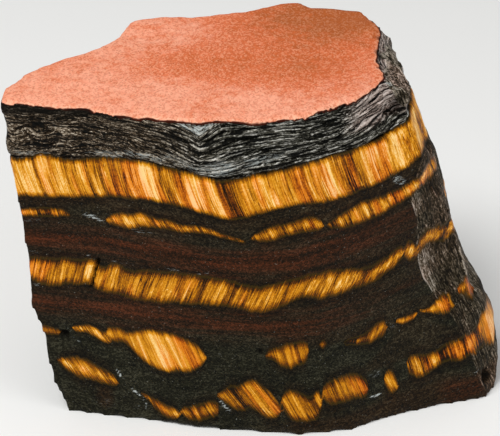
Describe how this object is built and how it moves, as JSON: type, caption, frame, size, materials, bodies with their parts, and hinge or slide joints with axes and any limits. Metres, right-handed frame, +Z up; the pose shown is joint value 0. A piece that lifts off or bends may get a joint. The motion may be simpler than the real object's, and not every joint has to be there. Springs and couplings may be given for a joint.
{
  "type": "raw banded tiger iron block",
  "caption": "Rough block of banded tiger's eye, ironstone and jasper under a weathered pink skin, resting on a level broken bed.",
  "frame": {"origin": "centre of the bounding box's underside, on the surface that the stone stands on", "axes": "+X to the right along the banded front, -Y out of the front, +Z up across the beds"},
  "size_m": [0.0986, 0.0654, 0.0684],
  "materials": {
    "banded_stone": "golden silky seams between dark satin ironstone and red-brown jasper, with a matt grainy pink skin on top"
  },
  "bodies": {
    "root": {"tiger_iron_block": "banded_stone"}
  },
  "joints": []
}
